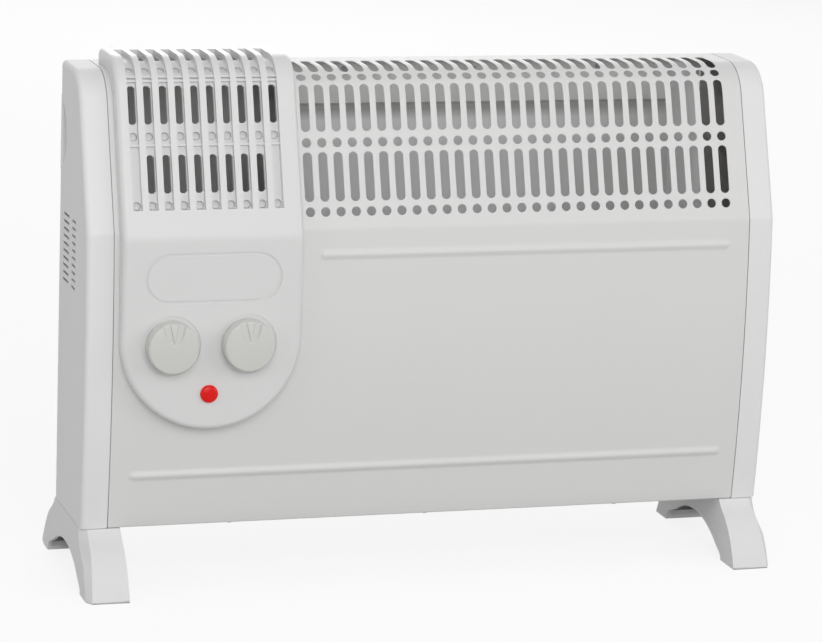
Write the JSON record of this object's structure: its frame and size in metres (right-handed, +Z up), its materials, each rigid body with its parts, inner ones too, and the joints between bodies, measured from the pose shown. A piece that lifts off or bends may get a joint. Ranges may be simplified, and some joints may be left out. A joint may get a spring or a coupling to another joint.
{
  "type": "convector heater",
  "caption": "Free-standing electric convector heater with a slotted slanting outlet grille, a ribbed side control cover, two rotary controls, a red lamp and two arched feet.",
  "frame": {"origin": "on the floor, midway between the feet's ends and midway between the two side faces", "axes": "+X to the right seen from the front, the front faces -Y, +Z up"},
  "size_m": [0.532, 0.1644, 0.385],
  "materials": {
    "painted_front": "satin white powder coat",
    "painted_rear": "satin white powder coat",
    "white_plastic": "white, fine matt grain",
    "cover_plastic": "white, soft sheen",
    "knob_plastic": "white, soft sheen",
    "red_lens": "clear red, glossy",
    "lamp_glass": "clear",
    "black_plastic": "black",
    "steel": "zinc plated",
    "bare_sheet": "bare aluminised sheet",
    "mica": "mica board",
    "ribbon_alloy": "dull resistance alloy",
    "ceramic": "glazed ceramic",
    "block_plastic": "natural nylon"
  },
  "bodies": {
    "housing": {"front_panel": "painted_front", "back_panel": "painted_rear", "base_plate": "painted_rear", "left_end_cap": "white_plastic", "right_end_cap": "white_plastic", "left_foot": "white_plastic", "right_foot": "white_plastic", "control_cover": "cover_plastic", "indicator_lens": "red_lens", "indicator_lamp": "lamp_glass", "power_switch": "black_plastic", "thermostat": "black_plastic", "cord_bush": "black_plastic", "thermal_cutout": "black_plastic", "rear_screws": "steel", "cap_screws": "steel", "base_screws": "steel", "foot_screws": "steel", "control_screws": "steel", "cover_screws": "steel", "block_screw": "steel", "left_partition": "bare_sheet", "right_partition": "bare_sheet", "heat_shield": "bare_sheet", "element_board": "mica", "element_ribbons": "ribbon_alloy", "element_brackets": "ceramic", "insulators": "ceramic", "terminal_block": "block_plastic"},
    "power_control": {"power_knob": "knob_plastic", "power_spindle": "steel"},
    "thermostat_control": {"thermostat_knob": "knob_plastic", "thermostat_spindle": "steel"}
  },
  "joints": [
    {"name": "power_turn", "type": "hinge", "parent": "housing", "child": "power_control", "pos_m": [-0.2024, -0.068, 0.184], "axis": [0, 1, 0], "range_deg": [0, 270]},
    {"name": "thermostat_turn", "type": "hinge", "parent": "housing", "child": "thermostat_control", "pos_m": [-0.1464, -0.068, 0.184], "axis": [0, 1, 0], "range_deg": [0, 300]}
  ]
}
